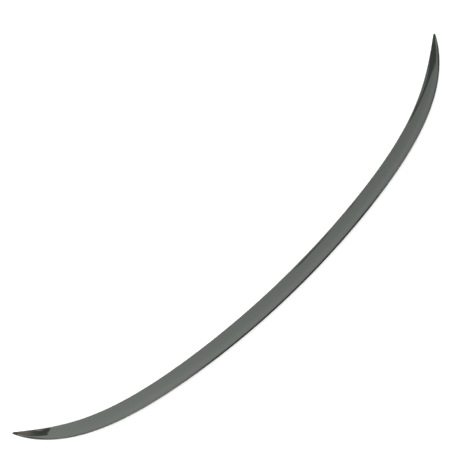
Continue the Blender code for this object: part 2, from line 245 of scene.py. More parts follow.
def open_group(name, inputs, outputs):
    """Empty node group; returns its tree and the nodes that hold its inputs and its outputs."""
    tree = bpy.data.node_groups.new(name, "ShaderNodeTree")
    for label, value in inputs.items():
        kind = "NodeSocketVector" if label == "Place" else "NodeSocketFloat"
        socket = tree.interface.new_socket(name=label, in_out='INPUT', socket_type=kind)
        if kind == "NodeSocketFloat":
            socket.default_value = value
    for label in outputs:
        tree.interface.new_socket(name=label, in_out='OUTPUT', socket_type="NodeSocketFloat")
    return tree, tree.nodes.new("NodeGroupInput").outputs, tree.nodes.new("NodeGroupOutput").inputs


def use_group(tree, group, sockets):
    """Place a node group in a material."""
    made = tree.nodes.new("ShaderNodeGroup")
    made.node_tree = group
    for name, value in sockets.items():
        if isinstance(value, bpy.types.NodeSocket):
            tree.links.new(value, made.inputs[name])
        else:
            made.inputs[name].default_value = value
    return made.outputs


def ramp(tree, value, low, high, to_low=0.0, to_high=1.0):
    """Smooth step of a value between two limits."""
    return node(tree, "MapRange", {
        "Value": value, "From Min": low, "From Max": high, "To Min": to_low, "To Max": to_high},
        interpolation_type='SMOOTHSTEP').outputs["Result"]


def mixed(tree, share_of_b, colour_a, colour_b):
    """Mix of two colours by a mask; each colour is three numbers or an output socket."""
    mix = node(tree, "Mix", {0: share_of_b}, data_type='RGBA')
    for place, colour in ((6, colour_a), (7, colour_b)):
        if isinstance(colour, bpy.types.NodeSocket):
            tree.links.new(colour, mix.inputs[place])
        else:
            mix.inputs[place].default_value = (*colour, 1.0)
    return mix.outputs[2]


# %% [markdown]
# ## The camera and the stage
#
# The lip lies on a white table and is seen from behind and above, at 70 degrees, through a long
# lens, with the camera rolled so that the lip runs from corner to corner. It is placed first, so
# that every later step can be looked at. The roll is applied to the camera's own axes.

# %% Camera
VIEW_AZIMUTH, VIEW_ELEVATION = math.radians(-2.4708), math.radians(70.0)
VIEW_ROLL = math.radians(-41.1126)
VIEW_DISTANCE, VIEW_LENS, SENSOR_WIDTH = 2.6, 102.15, 36.0
CLIP_NEAR, CLIP_FAR = 0.05, 50.0
VIEW_TARGET = np.array([0.0122, 0.10756, 0.0003])


def unit(v):
    """Vector of length 1."""
    return v / np.linalg.norm(v)


def make_camera():
    """Looks at VIEW_TARGET from VIEW_DISTANCE, rolled about its own axis."""
    back = np.array([
        math.sin(VIEW_AZIMUTH) * math.cos(VIEW_ELEVATION),
        -math.cos(VIEW_AZIMUTH) * math.cos(VIEW_ELEVATION),
        math.sin(VIEW_ELEVATION)])
    right = unit(np.cross(-back, [0.0, 0.0, 1.0]))
    up = np.cross(back, right)
    cr, sr = math.cos(VIEW_ROLL), math.sin(VIEW_ROLL)
    axes = np.array([right * cr + up * sr, up * cr - right * sr, back]).T
    data = bpy.data.cameras.new("view")
    data.lens, data.sensor_width = VIEW_LENS, SENSOR_WIDTH
    data.clip_start, data.clip_end = CLIP_NEAR, CLIP_FAR
    camera = bpy.data.objects.new("view", data)
    placed = np.eye(4)
    placed[:3, :3] = axes
    placed[:3, 3] = VIEW_TARGET + back * VIEW_DISTANCE
    camera.matrix_world = Matrix(placed)
    bpy.context.scene.collection.objects.link(camera)
    bpy.context.scene.camera = camera
    return camera


camera = make_camera()
print("camera at", [round(v, 3) for v in camera.location])

# %% [markdown]
# A glossy black surface shows its surroundings and little else, so the surroundings are designed:
# one large bright panel overhead, whose mirror image fills the top face from end to end; two
# smaller panels nearer the camera, which brighten the leading edge near each tip, past a dark gap;
# two lights beside the camera, which draw a bright line on the trailing edge towards its ends; and
# a dim room, warmer on the left, which the curved tips look out into. The large panel's near edge
# is notched: where it draws back, a thin dark line appears along the leading edge. Light that
# falls on dull surfaces comes evenly from all round, so the table stays white with faint shadow.

# %% Stage, light panels and room
PANEL_HEIGHT = 2.7
PANEL_CORNERS = (
    (-1.50, 0.62), (-0.60, 0.66), (-0.50, 0.88), (-0.36, 0.94), (-0.28, 0.86), (-0.18, 0.80),
    (0.08, 0.82), (0.14, 0.96), (0.29, 0.94), (0.38, 0.90), (0.45, 0.98), (0.51, 0.97),
    (0.57, 0.86), (0.66, 0.80), (0.86, 0.82), (0.95, 0.93), (1.10, 0.93), (1.22, 0.98),
    (1.31, 1.10), (1.30, 1.35), (1.08, 1.50), (1.08, 2.75), (-0.86, 2.75), (-1.06, 1.45),
    (-1.28, 1.14))
PANEL_COLOUR, PANEL_MIDDLE, PANEL_FADE, PANEL_RISE = (0.92, 1.0, 0.94), 2.3, -0.46, 0.3
NEAR_PANELS = (
    ((-2.30, 0.10), (-0.75, 0.10), (-0.70, 0.54), (-1.56, 0.52), (-1.56, 0.92), (-2.30, 0.95)),
    ((0.97, 0.15), (2.20, 0.15), (2.20, 0.80), (0.97, 0.82)))
SIDE_LIGHTS = (("side_panel_left", (-1.2, -1.0, 2.5)), ("side_panel_right", (1.45, -1.0, 2.5)))
SIDE_LIGHT_SIZE, SIDE_LIGHT_POWER = (1.2, 1.6), 4.0
ROOM_FRONT, ROOM_BEHIND, ROOM_WARM = (0.55, 0.64, 0.54), (0.25, 0.26, 0.25), (2.1, 1.75, 1.5)
AHEAD_FADE, LEFT_FADE = (0.0, 0.25), (-0.18, -0.28)
WARM_TOP_FADE, WARM_FOOT_FADE = (0.89, 0.85), (0.45, 0.70)
TABLE_WASH, SEEN_WHITE = 1.35, 1.0
TABLE_SIZE, TABLE_SHADES, TABLE_NOISE = 30.0, (0.88, 0.92), 3.0


def flat_piece(name, corners, material):
    """One flat face from its corners, as a stage piece."""
    mesh = bpy.data.meshes.new(name)
    mesh.from_pydata(corners, [], [tuple(range(len(corners)))])
    mesh.materials.append(material)
    piece = bpy.data.objects.new(name, mesh)
    bpy.context.scene.collection.objects.link(piece)
    return piece


def table_material():
    """White matt sheet with a barely visible unevenness."""
    material = bpy.data.materials.new("white_table")
    material.use_nodes = True
    tree = material.node_tree
    shader = tree.nodes["Principled BSDF"]
    shader.inputs["Roughness"].default_value = 0.95
    shader.inputs["Specular IOR Level"].default_value = 0.1
    noise = tree.nodes.new("ShaderNodeTexNoise")
    noise.inputs["Scale"].default_value = TABLE_NOISE
    shade = tree.nodes.new("ShaderNodeMapRange")
    shade.inputs["To Min"].default_value, shade.inputs["To Max"].default_value = TABLE_SHADES
    tree.links.new(noise.outputs["Fac"], shade.inputs["Value"])
    tree.links.new(shade.outputs["Result"], shader.inputs["Base Color"])
    return material


def panel_material():
    """Emission that falls evenly from left to right and rises evenly away from the camera."""
    material = bpy.data.materials.new("panel_glow")
    material.use_nodes = True
    tree = material.node_tree
    tree.nodes.remove(tree.nodes["Principled BSDF"])
    place = node(tree, "TexCoord").outputs["Object"]
    split = node(tree, "SeparateXYZ", {0: place}).outputs
    across = node(tree, "Math", {
        0: split["X"], 1: PANEL_FADE, 2: PANEL_MIDDLE}, operation='MULTIPLY_ADD')
    both = node(tree, "Math", {
        0: split["Y"], 1: PANEL_RISE, 2: across.outputs[0]}, operation='MULTIPLY_ADD')
    glow = node(tree, "Emission", {"Color": (*PANEL_COLOUR, 1.0), "Strength": both.outputs[0]})
    tree.links.new(glow.outputs[0], tree.nodes["Material Output"].inputs["Surface"])
    return material


def side_light(name, place):
    """Rectangular light beside the camera, facing straight down."""
    data = bpy.data.lights.new(name, "AREA")
    data.shape = 'RECTANGLE'
    data.size, data.size_y = SIDE_LIGHT_SIZE
    data.energy = data.size * data.size_y * math.pi * SIDE_LIGHT_POWER
    light = bpy.data.objects.new(name, data)
    light.location = place
    light.visible_camera = False
    bpy.context.scene.collection.objects.link(light)


def make_room():
    """World seen three ways: white past the table, even on dull surfaces, dim in reflections."""
    world = bpy.data.worlds.new("room")
    bpy.context.scene.world = world
    world.use_nodes = True
    tree = world.node_tree
    path = node(tree, "LightPath").outputs
    way = node(tree, "SeparateXYZ", {0: node(tree, "TexCoord").outputs["Generated"]}).outputs
    ahead = ramp(tree, way["Y"], *AHEAD_FADE)
    leftwards = ramp(tree, way["X"], *LEFT_FADE)
    lower = ramp(tree, way["Z"], *WARM_TOP_FADE)
    above = ramp(tree, way["Z"], *WARM_FOOT_FADE)
    band = node(tree, "Math", {0: lower, 1: above}, operation='MULTIPLY').outputs[0]
    wall = node(tree, "Math", {0: leftwards, 1: band}, operation='MULTIPLY').outputs[0]
    dim = mixed(tree, ahead, ROOM_BEHIND, ROOM_FRONT)
    mirrored = mixed(tree, wall, dim, ROOM_WARM)
    dull = mixed(tree, path["Is Diffuse Ray"], mirrored, (TABLE_WASH,) * 3)
    seen = mixed(tree, path["Is Camera Ray"], dull, (SEEN_WHITE,) * 3)
    tree.links.new(seen, tree.nodes["Background"].inputs["Color"])


bpy.context.scene.view_settings.view_transform = 'Standard'
half_table = TABLE_SIZE / 2.0
flat_piece("table_top", [
    (-half_table, -half_table, 0.0), (half_table, -half_table, 0.0),
    (half_table, half_table, 0.0), (-half_table, half_table, 0.0)], table_material())
glow = panel_material()
for label, corners in zip(("", "_near_left", "_near_right"), (PANEL_CORNERS, *NEAR_PANELS)):
    panel = flat_piece("light_panel" + label, [(x, y, PANEL_HEIGHT) for x, y in corners[::-1]], glow)
    panel.visible_camera = False
for label, place in SIDE_LIGHTS:
    side_light(label, place)
make_room()
print("light panels:", 1 + len(NEAR_PANELS), " side lights:", len(SIDE_LIGHTS))

# %% [markdown]
# ## Turning a grid of points into a mesh
#
# All new pieces share one builder. It takes a grid of points, stations along the lip by points
# round the section, joins them into quads, closes both ends with a fan, and makes sure that the
# faces point outwards by working out the enclosed volume. It also writes a UV map in metres:
# distance along the piece and distance round it.

# %% Grid builder


def signed_volume(points, triangles):
    """Sum of the signed volumes of the tetrahedra between the origin and each triangle."""
    p, q, r = (points[triangles[:, k]] for k in range(3))
    return float(np.einsum("ij,ij->i", p, np.cross(q, r)).sum()) / 6.0


def running_length(points, axis):
    """Distance travelled along one axis of a grid of points, starting at 0."""
    steps = np.linalg.norm(np.diff(points, axis=axis), axis=-1)
    pad = [(1, 0) if k == axis else (0, 0) for k in range(2)]
    return np.pad(np.cumsum(steps, axis=axis), pad)


def grid_piece(name, points, smooth_angle=40.0):
    """Closed tube from a (stations, points, 3) grid, its two ends capped by fans."""
    stations, count = points.shape[:2]
    index = np.arange(stations * count).reshape(stations, count)
    beside = np.roll(index, -1, axis=1)
    quads = np.stack([index[:-1], beside[:-1], beside[1:], index[1:]], -1).reshape(-1, 4)
    hubs = points[[0, -1]].mean(axis=1)
    flat = np.concatenate([points.reshape(-1, 3), hubs])
    first, last = stations * count, stations * count + 1
    fans = np.concatenate([
        np.stack([beside[0], index[0], np.full(count, first)], -1),
        np.stack([index[-1], beside[-1], np.full(count, last)], -1)])
    triangles = np.concatenate([quads[:, [0, 1, 2]], quads[:, [0, 2, 3]], fans])
    if signed_volume(flat, triangles) < 0.0:
        quads, fans = quads[:, ::-1], fans[:, ::-1]
    mesh = bpy.data.meshes.new(name)
    mesh.from_pydata(flat.tolist(), [], quads.tolist() + fans.tolist())
    along = running_length(points, 0)
    around = running_length(points, 1)
    uv = np.concatenate([np.stack([along, around], -1).reshape(-1, 2), np.zeros((2, 2))])
    corners = np.empty(len(mesh.loops), np.int32)
    mesh.loops.foreach_get("vertex_index", corners)
    layer = mesh.uv_layers.new(name="UVMap")
    layer.data.foreach_set("uv", uv[corners].ravel())
    mesh.shade_smooth()
    mesh.set_sharp_from_angle(angle=math.radians(smooth_angle))
    mesh.update()
    piece = bpy.data.objects.new(name, mesh)
    bpy.context.scene.collection.objects.link(piece)
    return piece


def attribute(piece, name, values):
    """One number per grid point, kept on the mesh; the two cap hubs repeat the ends."""
    flat = np.concatenate([values.ravel(), [values[0].mean(), values[-1].mean()]]).astype(np.float32)
    piece.data.attributes.new(name, 'FLOAT', 'POINT').data.foreach_set("value", flat)


def between(low, high, value):
    """Smooth step from 0 at low to 1 at high."""
    t = np.clip((value - low) / (high - low), 0.0, 1.0)
    return t * t * (3.0 - 2.0 * t)


def crowded(end, count, extra=()):
    """Stations from -end to end, closer together towards the ends, plus any extra ones."""
    u = end * np.sin(np.linspace(-math.pi / 2.0, math.pi / 2.0, count))
    return np.unique(np.concatenate([u, extra]))


# %% [markdown]
# ## The painted skin
#
# The real skin is a moulding about two millimetres thick with a raised, slightly overhanging
# trailing edge, a hollow top face that mirrors the light box in one sweep, and a thin leading
# edge. Gloss paint forgives nothing: a mesh of flat facets would break the reflection into
# tiles. So the outline is drawn with true arcs that meet their neighbours in one direction, and
# carried through several hundred stations. The hollow underneath is part of the same outline;
# past the end of the hollow its points slide onto the flat underside, so the whole moulding is
# one closed surface.

# %% Outline of the skin
END_WALL, TIP_ROUND, FLANGE_TIP_SHARE, FOOT_STEP = 1.6, 1.6, 0.62, 0.4
FRONT_SHARES = (0.0, 0.33, 0.66)
FRONT_POINTS, ROOF_POINTS, REAR_POINTS, UNDER_POINTS = len(FRONT_SHARES), 16, 8, 4
SKIN_STATIONS = 560
NOSE_ROLL, NOSE_FOOT, ROLL_POINTS, TOP_POINTS = 2.6, 0.7, 14, 38
CREST_WIDE, CREST_HIGH, CREST_POINTS, CREST_LEAVE, CREST_EASE = 2.2, 1.3, 22, 0.04, 0.4
TIP_MOST = 0.9995


def arc(a, c, radius, start, end, count):
    """Points on a circle between two angles in degrees; the arguments may be columns."""
    t = np.linspace(0.0, 1.0, count)
    angle = np.radians(start + (end - start) * t)
    return a + radius * np.cos(angle), c + radius * np.sin(angle)


def line(a0, c0, a1, c1, count):
    """Points evenly spaced between two places, leaving out both."""
    t = np.arange(1, count + 1) / (count + 1.0)
    return a0 + (a1 - a0) * t, c0 + (c1 - c0) * t


def top_slope(u, t):
    """Fall of the top face at the share t of its width: the line's fall and the parabola's."""
    (a0, c0), (a1, c1) = top_ends(u)
    sag = TOP_SAG * chord(u) / CHORD
    return (c0 - c1 + 4.0 * sag * (1.0 - 2.0 * t)) / (a1 - a0)


def nose_roll(u):
    """Upper half of the nose: a quarter ellipse sheared to leave the top face tangentially."""
    q, width = share(u), chord(u)
    start_a = width - NOSE_ROLL * q
    (a0, _), (a1, _) = top_ends(u)
    slope = top_slope(u, (start_a - a0) / (a1 - a0))
    start_c, end_c = top_face(start_a, u), NOSE_CENTRE * q
    angle = np.linspace(0.0, math.pi / 2.0, ROLL_POINTS)
    along = np.sin(angle)
    drop = start_c - end_c - slope * NOSE_ROLL * q
    return start_a + NOSE_ROLL * q * along, (
        start_c - slope * NOSE_ROLL * q * along - drop * (1.0 - np.cos(angle)))


def skin_outside(u):
    """Foot, rear face, crest, hollow top face and nose, as lists of (a, c) columns."""
    q, width = share(u), chord(u)
    bevel, wide, high = FOOT_BEVEL * q, CREST_WIDE * q, CREST_HIGH * q
    crest_a, crest_c = wide - CREST_OVERHANG * q, crest(u) - high
    foot_arc = arc(bevel, bevel, bevel, 270.0, 180.0, 7)
    rear = line(0.0 * u, bevel, crest_a - wide, crest_c, 12)
    leave = np.arctan2(1.0, top_slope(u, CREST_LEAVE) * CREST_WIDE / CREST_HIGH)
    angle = math.pi + (leave - math.pi) * np.linspace(0.0, 1.0, CREST_POINTS)
    crest_arc = (crest_a + wide * np.cos(angle), crest_c + high * np.sin(angle))
    roll = nose_roll(u)
    under_nose = arc(width - NOSE_RADIUS * q, NOSE_CENTRE * q, NOSE_RADIUS * q, -12.0, -90.0, 6)
    a0, c0 = crest_arc[0][:, -1:], crest_arc[1][:, -1:]
    a1 = roll[0][:, :1]
    t = np.arange(1, TOP_POINTS + 1) / (TOP_POINTS + 1.0)
    a = a0 + (a1 - a0) * t
    ease = (1.0 - np.clip(t / CREST_EASE, 0.0, 1.0) ** 2) ** 2
    top = (a, top_face(a, u) + (c0 - top_face(a0, u)) * ease)
    return [foot_arc, rear, crest_arc, top, roll, under_nose]


def skin_inside(u):
    """Underside of the leading edge, then the hollow's front wall, roof, chamfer and rear wall.

    Past the end of the hollow its points lie on the flat underside, and the place where they
    start keeps to a share of the shrinking width, so that they stay inside the skin.
    """
    q, width = share(u), chord(u)
    solid_foot = np.minimum(WALL + FOOT_STEP, FOOT_TIP_SHARE * width)
    opened = between(0.0, END_WALL, (hollow_end - np.abs(u)) * HALF)
    closed = np.abs(u) > hollow_end
    front = hollow_front(np.minimum(np.abs(u), hollow_end))
    front = np.where(closed, np.minimum(front, FLANGE_TIP_SHARE * width), front)
    foot = solid_foot + (np.minimum(WALL, solid_foot) - solid_foot) * opened
    flange_a = width - SEAL_WIDTH * q
    under = line(width - NOSE_RADIUS * q, NOSE_FOOT * q, flange_a, land(u), UNDER_POINTS)
    flange = line(flange_a, land(u), front, land(u), 8)
    roof_a = np.linspace(0.0, 1.0, ROOF_POINTS)
    corner = WALL + ROOF_CORNER
    a = front + (corner - front) * roof_a
    wall_top = roof(corner, u) - ROOF_CORNER
    hollow_a = np.concatenate([
        front + np.zeros((1, FRONT_POINTS)), a, WALL + 0.0 * front + np.zeros((1, REAR_POINTS))], 1)
    front_c = land(u) + (roof(front, u) - land(u)) * np.array(FRONT_SHARES)
    rear_c = wall_top + (land(u) - wall_top) * np.linspace(0.0, 1.0, REAR_POINTS)
    hollow_c = np.concatenate([front_c, roof(a, u), rear_c], 1)
    t = np.linspace(0.0, 1.0, hollow_a.shape[1])
    solid_a = front + (foot - front) * t
    hollow = (solid_a + (hollow_a - solid_a) * opened, land(u) + (hollow_c - land(u)) * opened)
    bottom = line(foot, 0.0 * u, FOOT_BEVEL * q, 0.0 * u, 3)
    step = (foot, 0.0 * u)
    return [under, flange, hollow, step, bottom]


def skin_outline(u):
    """The whole closed outline; the last millimetres shrink to a rounded point."""
    parts = skin_outside(u) + skin_inside(u)
    a = np.concatenate([p[0] + 0.0 * u for p in parts], 1)
    c = np.concatenate([p[1] + 0.0 * u for p in parts], 1)
    past = np.clip((np.abs(u) - 1.0) * HALF / TIP_ROUND + 1.0, 0.0, TIP_MOST)
    shrink = np.sqrt(1.0 - past ** 2)
    middle_a, middle_c = chord(u) / 2.0, crest(u) / 2.0
    return middle_a + (a - middle_a) * shrink, middle_c + (c - middle_c) * shrink


# %% Build the skin
edge = hollow_end - np.linspace(-0.3, END_WALL + 0.3, 8) / HALF
tip = 1.0 - TIP_ROUND / HALF * (1.0 - np.sin(np.linspace(0.0, math.pi / 2.0, 10)))
skin_u = crowded(1.0, SKIN_STATIONS, np.concatenate([edge, -edge, tip, -tip]))
skin_points = carried(skin_u, skin_outline)
skin = grid_piece("painted_skin", skin_points, 50.0)
print("skin:", len(skin.data.polygons), "faces,", len(skin_u), "stations")
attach(skin, "root")
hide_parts("outer_skin")

# %% [markdown]
# ## The carrier
#
# Under the skin sits an unpainted black moulding: a flat plate that closes the hollow, a low rail
# between the two rows of tape, cross ribs up to the roof and six drain slots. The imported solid
# already has every rib and slot in the right place, so the piece is a copy of it. The copy's
# loose triangles are merged, and a Bevel modifier breaks the hard edges, as a mould does.

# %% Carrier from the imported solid
EDGE_BREAK, MERGE = 0.00018, 0.000002
FLAT_ANGLE, SMOOTH_ANGLE, BREAK_ANGLE = (math.radians(v) for v in (0.4, 30.0, 35.0))


def softened_copy(name, node, width):
    """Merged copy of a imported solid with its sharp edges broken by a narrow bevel."""
    mesh = nodes[node].data.copy()
    mesh.name = name
    shape = bmesh.new()
    shape.from_mesh(mesh)
    bmesh.ops.remove_doubles(shape, verts=shape.verts, dist=MERGE)
    bmesh.ops.dissolve_limit(
        shape, angle_limit=FLAT_ANGLE, verts=shape.verts, edges=shape.edges)
    shape.to_mesh(mesh)
    shape.free()
    mesh.materials.clear()
    mesh.shade_smooth()
    mesh.set_sharp_from_angle(angle=SMOOTH_ANGLE)
    piece = bpy.data.objects.new(name, mesh)
    bpy.context.scene.collection.objects.link(piece)
    bevel = piece.modifiers.new("edges", 'BEVEL')
    bevel.width, bevel.segments, bevel.limit_method = width, 2, 'ANGLE'
    bevel.angle_limit = BREAK_ANGLE
    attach(piece, "root")
    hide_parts(node)
    return piece


carrier = softened_copy("inner_carrier", "base_carrier", EDGE_BREAK)
print("carrier:", len(carrier.data.polygons), "faces before its bevel")

# %% [markdown]
# ## Adhesive
#
# Two lines of structural adhesive hold the carrier in the skin: a fillet in the rear corner and a
# wedge under the thin front of the roof. They are laid by a nozzle, so they are never quite even.
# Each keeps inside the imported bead's outline, with its free sides bowed inwards and its size
# shrunk here and there by a sum of three sines that don't repeat together.

# %% Adhesive beads
BEAD_END_CLEAR, BEAD_STATIONS = 10.0, 421
BEAD_END = (hollow_end * HALF - BEAD_END_CLEAR) / HALF
OTHER_WAVES = ((1.618, 1.3), (2.71, 2.6))
REAR_BOW, FRONT_BOW = 0.62, 0.5
WIDTH_RIPPLE, HEIGHT_RIPPLE, WEDGE_RIPPLE = (21.0, 0.7), (34.0, 0.75), (27.0, 0.72)


def uneven(u, pitch, low):
    """Sum of three sines of the distance along the lip, scaled to run from low to 1."""
    s = u * HALF * 2.0 * math.pi / pitch
    wave = np.sin(s)
    for rate, start in OTHER_WAVES:
        wave = wave + np.sin(rate * s + start)
    return low + (1.0 - low) * (wave + 3.0) / 6.0


def rear_bead(u):
    """Concave fillet: a quarter ellipse drawn in halfway round, its two radii changing with u."""
    rear, low = WALL + GAP, land(u) + PLATE + GAP
    high = np.minimum(BEAD_REAR_HEIGHT, roof(WALL + ROOF_CORNER, u) - ROOF_CORNER - GAP - low)
    angle = np.linspace(0.0, math.pi / 2.0, 12)
    bow = REAR_BOW + (1.0 - REAR_BOW) * np.abs(np.cos(2.0 * angle)) ** 1.5
    a = rear + BEAD_REAR * uneven(u, *WIDTH_RIPPLE) * np.cos(angle) * bow
    c = low + high * uneven(u, *HEIGHT_RIPPLE) * np.sin(angle) * bow
    return np.concatenate([a, rear + 0.0 * u], 1), np.concatenate([c, low + 0.0 * u], 1)


def front_bead(u):
    """Wedge that fills the gap between plate and roof; its rear and front sides bow inwards."""
    front = hollow_front(u) - GAP - BEAD_FRONT_INSET
    rear = front - BEAD_FRONT * uneven(u, *WEDGE_RIPPLE)
    low = land(u) + PLATE + GAP
    t = np.linspace(0.0, 1.0, 8)
    bow = FRONT_BOW * t * (1.0 - t)
    bottom_a = rear + (front - rear) * t
    top_a = bottom_a[:, ::-1]
    up = low + (roof(front, u) - GAP - low) * t
    down = roof(rear, u) - GAP + (low - roof(rear, u) + GAP) * t
    a = [bottom_a, front - bow + 0.0 * up, top_a, rear + bow + 0.0 * down]
    c = [low + 0.0 * bottom_a, up, roof(top_a, u) - GAP, down]
    return np.concatenate(a, 1), np.concatenate(c, 1)


def swept_piece(name, outline, u, node, smooth_angle=40.0):
    """Grid piece carried through the stations u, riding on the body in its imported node's place."""
    piece = grid_piece(name, carried(u, outline), smooth_angle)
    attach(piece, "root")
    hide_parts(node)
    return piece


bead_u = np.linspace(-BEAD_END, BEAD_END, BEAD_STATIONS)
beads = [
    swept_piece("adhesive_rear", rear_bead, bead_u, "bond_bead_rear", 60.0),
    swept_piece("adhesive_front", front_bead, bead_u, "bond_bead_front", 60.0)]
print("adhesive faces:", sum(len(b.data.polygons) for b in beads))

# %% [markdown]
# ## Leading edge seal
#
# A soft rubber strip under the leading edge closes the joint to the boot lid. It is an extruded
# profile: a flat back, a half-round and a small wiping lip that points forwards. Its ends are
# cut and trimmed, so the profile shrinks over the last two millimetres.

# %% Seal
SEAL_END = 1.0 - SEAL_END_CLEAR / HALF
SEAL_TRIM, TRIM_LEAST, SEAL_STATIONS, SEAL_BACK = 2.0, 0.05, 361, 0.12
LIP_REACH, LIP_AT, LIP_WIDE, DIP_AT, DIP_WIDE = 0.22, -52.0, 11.0, -84.0, 9.0


def seal_profile(u):
    """Half ellipse hung from a flat back; one bell curve adds the lip, another takes the groove."""
    q = share(u)
    front, top = chord(u) - SEAL_INSET * q, land(u) - GAP
    rear = front - SEAL_WIDTH * q
    trimmed = np.clip((SEAL_END - np.abs(u)) * HALF / SEAL_TRIM, TRIM_LEAST, 1.0) ** 0.5
    angle = np.radians(np.linspace(0.0, -180.0, 29))
    turned = np.degrees(angle)
    lip = np.exp(-((turned - LIP_AT) / LIP_WIDE) ** 2)
    dip = np.exp(-((turned - DIP_AT) / DIP_WIDE) ** 2)
    reach = 1.0 - LIP_REACH / 2.0 + LIP_REACH / 2.0 * (lip - dip)
    a = (front + rear) / 2.0 + (front - rear) / 2.0 * np.cos(angle) * reach
    c = top - SEAL_DEPTH * SEAL_BACK + SEAL_DEPTH * np.sin(angle) * reach * trimmed
    return np.concatenate([a, rear, front], 1), np.concatenate([c, top, top], 1)


seal_u = crowded(SEAL_END, SEAL_STATIONS)
seal = swept_piece("edge_seal", seal_profile, seal_u, "leading_edge_seal", 50.0)
print("seal faces:", len(seal.data.polygons))

# %% [markdown]
# ## Foam tape and its release film
#
# What holds the lip on the car is double-sided foam tape: five lengths behind, five in front and
# a short pad under each solid tip. Foam is cut with a blade, so its ends are square and its
# sides, pressed a little, swell outwards. Each length still wears its thin red release film,
# which sticks out past one end as a pull tab with rounded corners. A film is springy: the free
# tab lifts off the table.

# %% Tape and film
TAPE_BREAK, TAPE_SEGMENTS, TAPE_END_CLEAR, TAB, PAD_TAB = 16.0, 5, 17.0, 11.0, 5.0
FOAM_CORNER, FOAM_SWELL, FILM_CORNER = 0.12, 0.16, 0.06
TAB_CORNER, TAB_LIFT = 2.4, 0.75
FOAM_STEP, FILM_STEP, TAB_FLATS, TAB_ARC = 2.5, 3.0, (4.0, 6.0, 8.0), 1.5
FOAM_RIPPLE = (9.0, 0.5)


def slab(rear, front, low, high, corner, swell):
    """Rounded rectangle: quarter circles at the corners, upright sides swollen by a parabola."""
    quarter = np.radians(np.linspace(0.0, 90.0, 4))
    t = np.linspace(-1.0, 1.0, 7)[1:-1]
    side = swell * (1.0 - t * t)
    middle, half = (low + high) / 2.0, (high - low) / 2.0 - corner
    near_rear, near_front = rear + swell + corner, front - swell - corner
    a, c = [], []
    for centre_a, centre_c, turn in (
            (near_front, high - corner, 0.0), (near_rear, high - corner, math.pi / 2.0),
            (near_rear, low + corner, math.pi), (near_front, low + corner, -math.pi / 2.0)):
        a.append(centre_a + corner * np.cos(quarter + turn))
        c.append(centre_c + corner * np.sin(quarter + turn))
    rear_side = (rear + swell - side, middle - t * half)
    front_side = (front - swell + side, middle + t * half)
    a = [a[0], a[1], rear_side[0], a[2], a[3], front_side[0]]
    c = [c[0], c[1], rear_side[1], c[2], c[3], front_side[1]]
    return np.concatenate(a, 1), np.concatenate(c, 1)


def rear_span(u):
    """Both edges of the rear run."""
    return TAPE_INSET + 0.0 * u, TAPE_INSET + REAR_TAPE + 0.0 * u


def front_span(u):
    """Both edges of the front run."""
    return chord(u) - FRONT_TAPE_INSET - FRONT_TAPE, chord(u) - FRONT_TAPE_INSET


def pad_span(u):
    """Both edges of a tip pad."""
    return TAPE_INSET + 0.0 * u, chord(u) - PAD_SIDE


def foam(label, start, end, span):
    """Length of foam between two u."""
    def outline(u):
        """Slab under its land, its sides unevenly swollen."""
        rear, front = span(u)
        top = land(u) - GAP
        swell = FOAM_SWELL * uneven(u, *FOAM_RIPPLE)
        return slab(rear, front, top - TAPE, top, FOAM_CORNER, swell)
    u = np.linspace(start, end, int((end - start) * HALF / FOAM_STEP) + 2)
    return swept_piece("foam_" + label, outline, u, "tape_" + label)


def film(label, start, end, span, tab):
    """Film under a length of foam; its tab is narrowed by circles and lifted by a square."""
    outward = 1.0 if start + end >= 0.0 else -1.0
    tip_u = (end if outward > 0.0 else start) + outward * tab / HALF
    low_u, high_u = (start, tip_u) if outward > 0.0 else (tip_u, end)

    def outline(u):
        """Thin slab; left is the distance still to go to the tab's end."""
        rear, front = span(u)
        left = np.abs(tip_u - u) * HALF
        inside = np.clip(TAB_CORNER - left, 0.0, None)
        round_off = TAB_CORNER - np.sqrt(np.clip(TAB_CORNER ** 2 - inside ** 2, 0.0, None))
        round_off = np.minimum(round_off, (front - rear) / 2.0 - 3.0 * FILM_CORNER)
        lift = TAB_LIFT * np.clip(1.0 - left / tab, 0.0, 1.0) ** 2
        low = liner_foot(u) + lift
        return slab(rear + round_off, front - round_off, low, low + LINER, FILM_CORNER, 0.0)
    count = int((high_u - low_u) * HALF / FILM_STEP) + 2
    round_end = TAB_CORNER * (1.0 - np.cos(np.linspace(0.0, TAB_ARC, 9)))
    fine = tip_u - outward * np.concatenate([round_end, TAB_FLATS]) / HALF
    u = np.unique(np.concatenate([np.linspace(low_u, high_u, count), fine]))
    u = u[(u >= low_u) & (u <= high_u)]
    return swept_piece("film_" + label, outline, u, "liner_" + label)


def tape_layout():
    """Label, start, end, span and tab length of every length of tape."""
    reach = hollow_end * HALF - TAPE_END_CLEAR
    length = (2.0 * reach - (TAPE_SEGMENTS - 1) * TAPE_BREAK) / TAPE_SEGMENTS
    rows = []
    for run, span in (("rear", rear_span), ("front", front_span)):
        for k in range(TAPE_SEGMENTS):
            start = -reach + k * (length + TAPE_BREAK)
            rows.append(("%s_%d" % (run, k + 1), start / HALF, (start + length) / HALF, span, TAB))
    pad_end = pad_start + PAD_LENGTH / HALF
    rows.append(("tip_left", -pad_end, -pad_start, pad_span, PAD_TAB))
    rows.append(("tip_right", pad_start, pad_end, pad_span, PAD_TAB))
    return rows


layout = tape_layout()
foams = [foam(label, start, end, span) for label, start, end, span, _ in layout]
films = [film(label, start, end, span, tab) for label, start, end, span, tab in layout]
print("lengths of tape:", len(foams), " films:", len(films))

# %% [markdown]
# ## Finishes
#
# Patterns used by several finishes are node groups, so each is written once. A group only puts
# out heights and masks; the shader stays in the material, and whatever is the same all over a
# surface is set on the shader itself.

# %% Shared patterns


